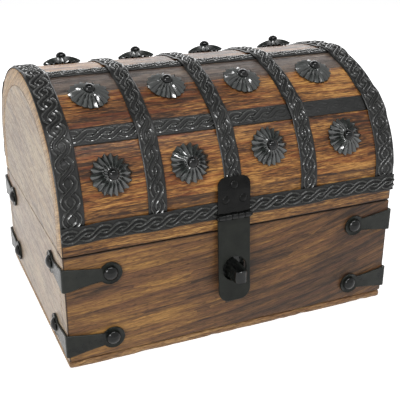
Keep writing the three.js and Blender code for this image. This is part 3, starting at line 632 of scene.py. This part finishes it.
# The near-black 020202 is painted shade on the ground beside the twist's lines.
strap_iron = iron_finish("strap iron", "2a2b29", "3a3b38", 0.08, 0.38, 0.00014, "020202", 1.0)
rail_iron = iron_finish("rail iron", "343533", "454643", 0.24, 0.34, 0.00014, "020202")
end_half, band_half = 0.0064, 0.0052
end_band_x = half_width - end_half
middle_band_x = -0.005
left_band_share, right_band_share = 0.485, 0.422
band_places = [(-end_band_x, end_half), (-left_band_share * half_width, band_half),
               (middle_band_x, band_half), (right_band_share * half_width, band_half),
               (end_band_x, end_half)]
strip_half, top_strip_half = 0.005, 0.0038
top_strip_girth = 0.0126
strips = {"strip_front": (stave_joints[0], strip_half), "strip_top": (top_strip_girth, top_strip_half),
          "strip_back": (stave_joints[-1], strip_half)}
strip_press = 0.9
worn_start, worn_length, worn_share = 0.012, 0.03, 0.85
rail_half = 0.005
rail_z = base_top + 0.0125
rail_lap = 0.003
band_end = half_girth + shoulder_height - rail_z + rail_lap
plate_top_girth = 0.09638
plate_lap = 0.007


def band_under(along):
    """Lift of a band's underside, which climbs over the strips."""
    return climb(along, strips.values())


def band_press(along):
    """How strongly a band's twist is pressed, which changes a little along it."""
    return 0.85 + 0.15 * np.cos(along * 40)


def rail_press(along):
    """How strongly a rail's twist is pressed."""
    return 0.92 + 0.08 * np.sin(along * 70)


for i, (x, half) in enumerate(band_places, 1):
    front_end = plate_top_girth + plate_lap if x == middle_band_x else band_end
    rings, relief = strap(lambda s, v, lift, x=x: over_lid(x + v, s, lift), -band_end, front_end, half,
                          band_under, band_press, -1)
    piece(f"iron_band_{i}", [shell(rings)], [strap_iron], "lid", f"band_{i}", relief=relief)
strip_end = half_width - end_half
for name, (girth, half) in strips.items():
    def press(s, name=name):
        """How strongly the strip's twist is pressed: the front one is worn flat to the right."""
        if name == "strip_front":
            return 1 - worn_share * np.clip((s - worn_start) / worn_length, 0, 1)
        return np.full_like(s, strip_press)

    rings, relief = strap(lambda s, v, lift, girth=girth: over_lid(s, girth + v, lift), -strip_end,
                          strip_end, half, lambda s: np.full_like(s, strap_under), press, -1,
                          strip_relief_height)
    piece("iron_" + name, [shell(rings)], [strap_iron], "lid", name, relief=relief)
for name, side in (("front", -1), ("back", 1)):
    crossed = [(x, half) for x, half in band_places if side > 0 or x != middle_band_x]

    def on_rail(s, v, lift, side=side):
        """Points over the lid's upright board."""
        s, v, lift = np.broadcast_arrays(s, v, lift)
        return np.stack([s, side * (half_depth + lift), rail_z + v], axis=-1)

    rings, relief = strap(on_rail, -half_width, half_width, rail_half, lambda s: climb(s, crossed),
                          rail_press, -side)
    piece("iron_rail_" + name, [shell(rings)], [rail_iron], "lid", "rail_" + name,
          relief=relief)


# Rosette studs
# Caps of thin iron pressed into eighteen pleats, like a parasol, with a toothed rim.
# Each is held by a glossy round-headed nail through its middle and bent to lie on the lid.
stud_radius = 0.0112
stud_rows = {
    "front_low": (0.085, [(-0.8, 1.6), (-1.8, 1.3), (0.2, -1.7), (0.4, -1.3)]),
    "front_high": (0.037, [(-0.7, 0.6), (-0.7, -0.7), (-0.7, 0.8), (-1.7, -0.4)]),
    "back_high": (-0.026, [(1, 0), (3.5, 0), (4.5, 0), (5.5, 0)]),
    "back_low": (-0.085, [(0, 0), (0, 0), (0, 0), (0, 0)]),
}
shift_unit = 0.001
row_seeds = 7
flattened_stud = ("front_low", 1)
petal_count = 18
petal_steps = 8
stud_rise = 0.0031
stud_rim = 0.0014
stud_fold = 0.0012
stud_tooth = 0.115
stud_sheet = 0.0004
stud_bore_share = 0.14
fold_start, fold_reach = 0.26, 0.22
petal_uneven, petal_lift = 0.02, 0.00022
flat_turn, flat_width, flat_depth = 2.45, 0.42, 0.85
stud_head_radius = 0.0031
stud_head_height = 0.0033
stud_head_seat = 0.0041
head_steps = 28


def rosette(seed, flattened):
    """Rings of a cap and of its nail's head, round the stud's own axis, Z up, and their relief.
    A flattened cap has lost its pleats on one side."""
    draw = np.random.default_rng(seed)
    turn = np.linspace(0, 2 * pi, petal_count * petal_steps, endpoint=False)
    petal = turn * petal_count / (2 * pi)
    valley = np.abs(2 * (petal - np.round(petal)))
    which = np.round(petal).astype(int) % petal_count
    length, height = draw.uniform(-1, 1, petal_count)[which], draw.uniform(-1, 1, petal_count)[which]
    folded = np.where(flattened, 1 - flat_depth * np.exp(-((turn - flat_turn) / flat_width) ** 2), 1.0)
    skew = draw.uniform(-0.5, 0.5)

    def ring(share, drop):
        """The cap at a share of its radius, with its pleats and its teeth growing outwards."""
        swirl = turn + 0.05 * share * np.sin(turn * 2 + skew * 6) + 0.08 * skew * share
        tooth = stud_tooth * share ** 4 * valley * folded
        radius = stud_radius * share * (1 - tooth + petal_uneven * share ** 2 * length)
        depth = stud_fold * np.clip((share - fold_start) / fold_reach, 0, 1)
        fold = depth * (1.2 - 0.3 * share) * valley * folded
        bulge = petal_lift * height * share ** 2 * (1 - valley)
        rise = stud_rim + stud_rise * (1 - share ** 2.6) - fold + bulge
        return np.stack([radius * np.cos(swirl), radius * np.sin(swirl), rise - drop], axis=-1)

    shares = np.concatenate([np.linspace(stud_bore_share, 0.9, 12), [0.96, 1.0]])
    cap = [ring(share, stud_sheet) for share in shares] + [ring(share, 0.0) for share in shares[::-1]]
    # The relief is lowest in the pleats' valleys, where the stud iron's dark colour paints shade.
    sharp = np.tile(1 - valley ** 1.5 * folded, (len(cap), 1))
    head_turn = np.linspace(0, 2 * pi, head_steps, endpoint=False)
    head = []
    for radius, height in [(0.6, -0.2), (0.72, 0.0), (0.92, 0.12), (1.0, 0.32), (0.96, 0.45), (0.88, 0.58),
                           (0.74, 0.73), (0.56, 0.86), (0.37, 0.94), (0.18, 0.985), (0.05, 1.0)]:
        r, z = stud_head_radius * radius, stud_head_seat + stud_head_height * height
        head.append(np.stack([r * np.cos(head_turn), r * np.sin(head_turn), np.full(head_steps, z)], axis=-1))
    return np.array(cap), np.array(head), np.concatenate([sharp.ravel(), np.ones(head_steps * len(head))])


def set_on_lid(rings, x, girth):
    """The stud's rings moved to their seat, bent to the lid's curve."""
    bend = crown_radius if abs(girth) <= crown_girth else shoulder_radius
    seat = over_lid(x, girth, strap_under)
    out = over_lid(x, girth, 1.0) - over_lid(x, girth, 0.0)
    uphill = np.cross(out, [1.0, 0.0, 0.0])
    a, b, c = rings[..., 0], rings[..., 1], rings[..., 2]
    sag = b ** 2 / (2 * bend)
    return seat + a[..., None] * [1.0, 0.0, 0.0] + b[..., None] * uphill + (c - sag)[..., None] * out


# Its near-black 020302 paints shade into the pleats' valleys.
stud_iron = iron_finish("stud iron", "1c201e", "2c312e", 0.1, 0.78, 0.00012, "020302", 0.3)
stud_nail_iron = iron_finish("stud nail iron", "050606", "0a0b0b", 0.14, 0.3, 0.00006)
for number, (row, (girth, shifts)) in enumerate(stud_rows.items()):
    gaps = zip(band_places, band_places[1:], shifts)
    for column, ((x0, half0), (x1, half1), (sideways, down)) in enumerate(gaps):
        x = (x0 + half0 + x1 - half1) / 2 + sideways * shift_unit
        seat_girth = girth + down * shift_unit
        cap, head, relief = rosette(column + row_seeds * number, (row, column) == flattened_stud)
        shells = [shell(set_on_lid(cap, x, seat_girth)), shell(set_on_lid(head, x, seat_girth), paint=1)]
        piece(f"rosette_{row}_{column + 1}", shells, [stud_iron, stud_nail_iron], "lid",
              f"stud_{row}_{column + 1}", crease=radians(20), relief=relief)


# Corner brackets
# Strips of forged iron folded round the corner, each arm tapering to a round eye with a nail.
# They lie on the base's boards, two at each corner.
bracket_sheet = 0.0012
bracket_reach = 0.025
bracket_corner_half = 0.0067
bracket_neck_half = 0.0038
bracket_eye = 0.0064
bracket_dish = 0.0004
bracket_taper = 0.018
bracket_tip_half = 0.0004
bracket_drop, bracket_rise = 0.0124, 0.0152
bracket_nail_radius = 0.004
bracket_nail_height = 0.0023
bracket_face = strap_under + bracket_sheet
bracket_face_x, bracket_face_y = half_width + bracket_face, half_depth + bracket_face
sheet_edge = 0.0003


def nail_head(seat, out, radius, height):
    """A round nail's head with its flat side on the seat."""
    out, seat = Vector(out), Vector(seat)
    one = out.orthogonal().normalized()
    two = out.cross(one)
    rings = []
    profile = ((0.85, -0.1), (0.98, 0.0), (1.0, 0.1), (0.95, 0.26), (0.85, 0.43), (0.7, 0.63), (0.5, 0.82),
               (0.28, 0.94), (0.06, 1.0))
    for share, rise in profile:
        rings.append([seat + out * height * rise + radius * share * (cos(t) * one + sin(t) * two)
                      for t in np.linspace(0, 2 * pi, head_steps, endpoint=False)])
    return rings


def across_sheet(half, under, sheet, edge=sheet_edge, dish=0.0):
    """Outline across a sheet with rounded edges and a dished face, as pairs of place and lift."""
    soft = min(edge, half * 0.5)
    top = under + sheet
    left = [(-(half - soft), under), (-half, under + soft), (-half, top - soft), (-(half - soft * 0.8), top),
            (-(half - soft * 3) if half > soft * 4 else -half * 0.3, top - dish)]
    right = [(-v, lift) for v, lift in left[::-1]]
    return [*left, (0, top - dish), *right]


def bracket_half(u):
    """Half height of an arm at a distance u from the corner: a taper, then the round eye."""
    narrowed = np.clip(u / bracket_taper, 0, 1)
    taper = bracket_corner_half + (bracket_neck_half - bracket_corner_half) * narrowed
    eye = np.sqrt(np.clip(bracket_eye ** 2 - (u - bracket_reach) ** 2, 0, None))
    neck = np.where(u < bracket_reach, taper, 0)
    return max(float(np.maximum(neck, eye)), bracket_tip_half)


def bracket(side_x, side_y, z):
    """Rings of one bracket, from the eye of the arm along X round the corner to the other arm's."""
    reach = bracket_reach + bracket_eye
    eye = reach - bracket_eye * (1 - np.cos(np.linspace(0, pi * 0.8, 14)))
    arm = np.concatenate([eye, np.linspace(0.0135, 0.0004, 9)])
    dishes = bracket_dish * np.clip(1 - (np.abs(arm - bracket_reach) - bracket_eye * 0.75) / 0.002, 0, 1)
    outlines = [across_sheet(bracket_half(u), strap_under, bracket_sheet, dish=dish)
                for u, dish in zip(arm, dishes)]
    corner = across_sheet(bracket_corner_half, strap_under, bracket_sheet)
    path = [(u, 0, 0, outline) for u, outline in zip(arm, outlines)]
    path += [(0, 0, turn, corner) for turn in np.linspace(0, pi / 2, 6)[1:-1]]
    path += [(0, u, pi / 2, outline) for u, outline in zip(arm[::-1], outlines[::-1])]
    rings = []
    for in_x, in_y, turn, outline in path:
        rings.append([(side_x * (half_width - in_x + lift * sin(turn)),
                       side_y * (half_depth - in_y + lift * cos(turn)), z + v) for v, lift in outline])
    return rings


forged_iron = iron_finish("forged iron", "191b19", "252723", 0.3, 0.18, 0.0004)
nail_iron = iron_finish("nail iron", "060706", "0e0f0e", 0.16, 0.26, 0.00012)
for depth_name, side_y in (("front", -1), ("back", 1)):
    for width_name, side_x in (("left", -1), ("right", 1)):
        for level, z in (("upper", base_top - bracket_drop), ("lower", bracket_rise)):
            seats = [((side_x * (half_width - bracket_reach), side_y * bracket_face_y, z), (0, side_y, 0)),
                     ((side_x * bracket_face_x, side_y * (half_depth - bracket_reach), z), (side_x, 0, 0))]
            heads = [shell(nail_head(seat, out, bracket_nail_radius, bracket_nail_height), paint=1)
                     for seat, out in seats]
            node = f"bracket_{depth_name}_{width_name}_{level}"
            piece("corner_" + node, [shell(bracket(side_x, side_y, z)), *heads], [forged_iron, nail_iron],
                  "base", node)


# Hasp
# A round-cornered plate nailed to the lid over the rail, and a leaf that hangs from it. The ends of
# both are curled round one pin. The leaf's round hole goes over a staple driven into the base.
hinge_lines = {joint["name"]: Vector(joint["pos_m"]) for joint in frame["record"]["behaviour"]["joints"]}
hasp_line = hinge_lines["hasp_swing"]
hasp_half = 0.0098
hasp_under = 0.0015
hasp_sheet = 0.0012
hasp_knuckle_radius = 0.0017
hasp_knuckles = 5
hasp_pin_sizes = (0.0007, 0.0013, 0.0007)
knuckle_gap = 0.0003
knuckle_edge = 0.00015
leaf_edge = 0.00025
plate_corner = 0.0048
plate_steps = (22, 9)
plate_nail_radius, plate_nail_height = 0.0024, 0.0012
plate_nail_places = [(0.0, 0.0179), (-0.0052, 0.01), (0.0052, 0.01)]
leaf_lean = radians(4)
leaf_length = 0.0512
leaf_corner = 0.0065
leaf_hole_drop = 0.0314
leaf_hole_radius = 0.00725
hasp_girth = half_girth + shoulder_height - hasp_line.z
plate_foot = hasp_girth - hasp_knuckle_radius - knuckle_gap


def corner_half(half, corner, left):
    """Half width of a plate where this much of its length is left before its rounded end."""
    inside = max(corner - left, 0.0)
    return half - corner + (corner ** 2 - inside ** 2) ** 0.5


def plate(place, start, length, half, corner, under, sheet, steps, corner_steps):
    """Rings of a plate that runs from start to length, where its corners are rounded. Place gives
    the point of the box for a place across the plate, a run along it and a lift off the wood."""
    turn = np.linspace(0, pi / 2, corner_steps)[1:]
    runs = [*np.linspace(start, length - corner, steps), *(length - corner * (1 - sin(t)) for t in turn)]
    return [[place(v, run, lift)
             for v, lift in across_sheet(corner_half(half, corner, length - run), under, sheet)]
            for run in runs]


def curl(line, out, away, start, end, radius, sheet):
    """Rings along X of a sheet's end curled round a pin. Out leaves the wood, and away leads from
    the pin to the rest of the sheet."""
    close = 2 * pi - acos(1 - sheet / radius)
    tab = radius + 2 * knuckle_gap
    profile = [(-radius, tab), *((-radius * cos(a), -radius * sin(a)) for a in np.linspace(0, close, 22)),
               (sheet - radius, tab)]
    rings = []
    for x, share in ((start, 0.9), (start + knuckle_edge, 1.0), (end - knuckle_edge, 1.0), (end, 0.9)):
        rings.append([Vector((x, line.y, line.z)) + share * (a * out + b * away) for a, b in profile])
    return rings


def curls(line, out, away, half, radius, sheet, count, first, paint=0):
    """Every other knuckle of a hinge, from the first one that this sheet has."""
    width = 2 * half / count
    made = []
    for i in range(first, count, 2):
        start = line.x - half + i * width + (knuckle_gap / 2 if i else 0)
        end = line.x - half + (i + 1) * width - (knuckle_gap / 2 if i < count - 1 else 0)
        made.append(shell(curl(line, out, away, start, end, radius, sheet), paint=paint))
    return made


def hinge_pin(line, half, radius, head_radius, head_length):
    """Rings along X of a pin with a peened head at each end."""
    seat = half + knuckle_gap
    shape = [(seat + head_length, head_radius * 0.45), (seat + head_length * 0.85, head_radius * 0.8),
             (seat + head_length * 0.45, head_radius), (seat, head_radius * 0.96), (seat, radius)]
    rings = []
    for x, r in [(-x, r) for x, r in shape] + shape[::-1]:
        rings.append([(line.x + x, line.y + r * cos(t), line.z + r * sin(t))
                      for t in np.linspace(0, 2 * pi, 20, endpoint=False)])
    return rings


def on_hasp(v, run, lift):
    """A point of the plate, which is bent to the lid, at a run upwards from its foot."""
    return over_lid(hasp_line.x + v, plate_foot - run, lift)


def hasp_leaf():
    """Rings round the leaf's hole, each from the hole's edge over the face to the outline and back."""
    head, tip = hasp_knuckle_radius + knuckle_gap, leaf_length
    side = hasp_half - leaf_corner
    top = [(x, head) for x in np.linspace(-hasp_half, hasp_half, 24)[:-1]]
    right = [(hasp_half, d) for d in np.linspace(head, tip - leaf_corner, 40)[:-1]]
    right += [(side + leaf_corner * cos(t), tip - leaf_corner * (1 - sin(t)))
              for t in np.linspace(0, pi / 2, 12)]
    left = [(-x, d) for x, d in right[::-1]]
    back, front, soft = -hasp_knuckle_radius, hasp_sheet - hasp_knuckle_radius, leaf_edge
    out, down = leaf_axes
    rings = []
    for x, d in top + right + left:
        length = (x ** 2 + (d - leaf_hole_drop) ** 2) ** 0.5
        dx, dd = x / length, (d - leaf_hole_drop) / length
        profile = [(leaf_hole_radius, back + soft), (leaf_hole_radius, front - soft),
                   (leaf_hole_radius + soft, front), (length - soft, front), (length, front - soft),
                   (length, back + soft), (length - soft, back), (leaf_hole_radius + soft, back)]
        rings.append([hasp_line + Vector((dx * r, 0, 0)) + out * lift + down * (leaf_hole_drop + dd * r)
                      for r, lift in profile])
    return rings


plate_iron = iron_finish("plate iron", "090909", "131312", 0.22, 0.11, 0.0003)
leaf_iron = iron_finish("leaf iron", "161815", "20221e", 0.34, 0.15, 0.00022)
plate_axes = (Vector((0, -1, 0)), Vector((0, 0, 1)))
leaf_axes = (Vector((0, -cos(leaf_lean), sin(leaf_lean))), Vector((0, -sin(leaf_lean), -cos(leaf_lean))))
plate_nails = []
for spread, rise in plate_nail_places:
    seat = over_lid(hasp_line.x + spread, hasp_girth - rise, hasp_under + hasp_sheet)
    out = over_lid(0, hasp_girth - rise, 1.0) - over_lid(0, hasp_girth - rise, 0.0)
    plate_nails.append(shell(nail_head(seat, out, plate_nail_radius, plate_nail_height)))
hasp_curl = (hasp_half, hasp_knuckle_radius, hasp_sheet, hasp_knuckles)
plate_curls = curls(hasp_line, *plate_axes, *hasp_curl, 0, 1)
leaf_curls = curls(hasp_line, *leaf_axes, *hasp_curl, 1, 1)
hasp_plate = plate(on_hasp, 0, plate_foot - plate_top_girth, hasp_half, plate_corner, hasp_under, hasp_sheet,
                   *plate_steps)
piece("hasp_nailed_plate", [shell(hasp_plate), *plate_curls, *plate_nails], [plate_iron, nail_iron], "lid",
      "hasp_plate")
piece("hasp_hanging_leaf", [shell(hasp_leaf(), joined=True), *leaf_curls], [leaf_iron, nail_iron], "hasp",
      "hasp_leaf")
piece("hasp_hinge_pin", [shell(hinge_pin(hasp_line, hasp_half, *hasp_pin_sizes))], [nail_iron], "lid",
      "hasp_pin")


# Staple
# A strip of black iron bent to a square U. Its two legs go through a thin square plate and are
# driven into the base's front board. The plate's black also paints shade into the leaf's hole.
staple_half = 0.0037
staple_sheet = 0.0016
staple_reach = 0.015
staple_bend = 0.003
staple_root = 0.007
staple_half_height = 0.0037
staple_sag = 0.0013
staple_edge = 0.0004
staple_plate_half = 0.0078
staple_plate_corner = 0.002
staple_plate_sheet = 0.0007
staple_plate_edge = 0.00015
staple_plate_under = 0.0001


def staple():
    """Rings along the strip, from one leg's root round the U to the other's."""
    middle, bend = staple_half - staple_sheet / 2, staple_bend - staple_sheet / 2
    far = staple_reach - staple_sheet / 2
    leg = [(-middle, at, (-1, 0)) for at in np.linspace(-staple_root, far - bend, 8)]
    turn = [(-middle + bend - bend * cos(t), far - bend + bend * sin(t), (-cos(t), sin(t)))
            for t in np.linspace(0, pi / 2, 8)[1:]]
    path = leg + turn
    path += [(-x, at, (-nx, ny)) for x, at, (nx, ny) in path[::-1]]
    rings = []
    for x, at, (nx, ny) in path:
        outline = across_sheet(staple_half_height, -staple_sheet / 2, staple_sheet, staple_edge)
        rings.append([(hasp_line.x + x + nx * lift, -(half_depth + at + ny * lift), staple_height + v)
                      for v, lift in outline])
    return rings


def staple_shade_plate():
    """Rings of the thin square plate that the staple's legs pass through, whose black paints shade into the
    leaf's hole.
    """
    reach = staple_plate_half
    turn = [reach - staple_plate_corner * (1 - sin(t)) for t in np.linspace(0, pi / 2, 6)]
    rings = []
    for drop in [*(-at for at in turn[::-1]), 0.0, *turn]:
        half = corner_half(reach, staple_plate_corner, reach - abs(drop))
        outline = across_sheet(half, staple_plate_under, staple_plate_sheet, staple_plate_edge)
        rings.append([(hasp_line.x + v, -(half_depth + lift), staple_height + drop) for v, lift in outline])
    return rings


staple_height = hasp_line.z - leaf_hole_drop * cos(leaf_lean) - staple_sag
staple_iron = iron_finish("staple iron", "0a0b0a", "1f211f", 0.16, 0.3, 0.0004)
piece("hasp_driven_staple", [shell(staple()), shell(staple_shade_plate())], [staple_iron], "base",
      "hasp_staple")


# Back hinges
# Two plain butt hinges of black iron in line with the second and fourth bands. One leaf is nailed
# to the base, the other over the lid's rail, and both are curled round a pin with peened heads.
hinge_half = 0.011
hinge_length = 0.018
hinge_sheet = 0.0012
hinge_radius = 0.0023
hinge_corner = 0.002
hinge_steps = (12, 7)
hinge_knuckles = 3
hinge_nail_rise, hinge_nail_spread = 0.012, 0.0074
hinge_pin_sizes = (0.0011, 0.0018, 0.0009)
hinge_over_rail = 0.0027

for name, x in (("left", band_places[1][0]), ("right", band_places[3][0])):
    line = Vector((x, hinge_lines["lid_open"].y, hinge_lines["lid_open"].z))
    for body, side, under, first in (("lid", 1, hinge_over_rail, 1), ("base", -1, strap_under, 0)):
        leaf = plate(lambda v, run, lift: (line.x + v, half_depth + lift, line.z + side * run),
                     hinge_radius + knuckle_gap, hinge_length, hinge_half, hinge_corner, under, hinge_sheet,
                     *hinge_steps)
        face, nail_z = half_depth + under + hinge_sheet, line.z + side * hinge_nail_rise
        nails = [shell(nail_head((x + spread, face, nail_z), (0, 1, 0), plate_nail_radius,
                                 plate_nail_height), paint=1)
                 for spread in (-hinge_nail_spread, hinge_nail_spread)]
        turns = curls(line, Vector((0, 1, 0)), Vector((0, 0, side)), hinge_half, hinge_radius, hinge_sheet,
                      hinge_knuckles, first)
        piece(f"back_hinge_{name}_{body}", [shell(leaf), *turns, *nails], [forged_iron, nail_iron], body,
              f"hinge_{name}_{body}_leaf")
    piece(f"back_hinge_{name}_pin", [shell(hinge_pin(line, hinge_half, *hinge_pin_sizes))], [nail_iron],
          "base", f"hinge_{name}_pin")
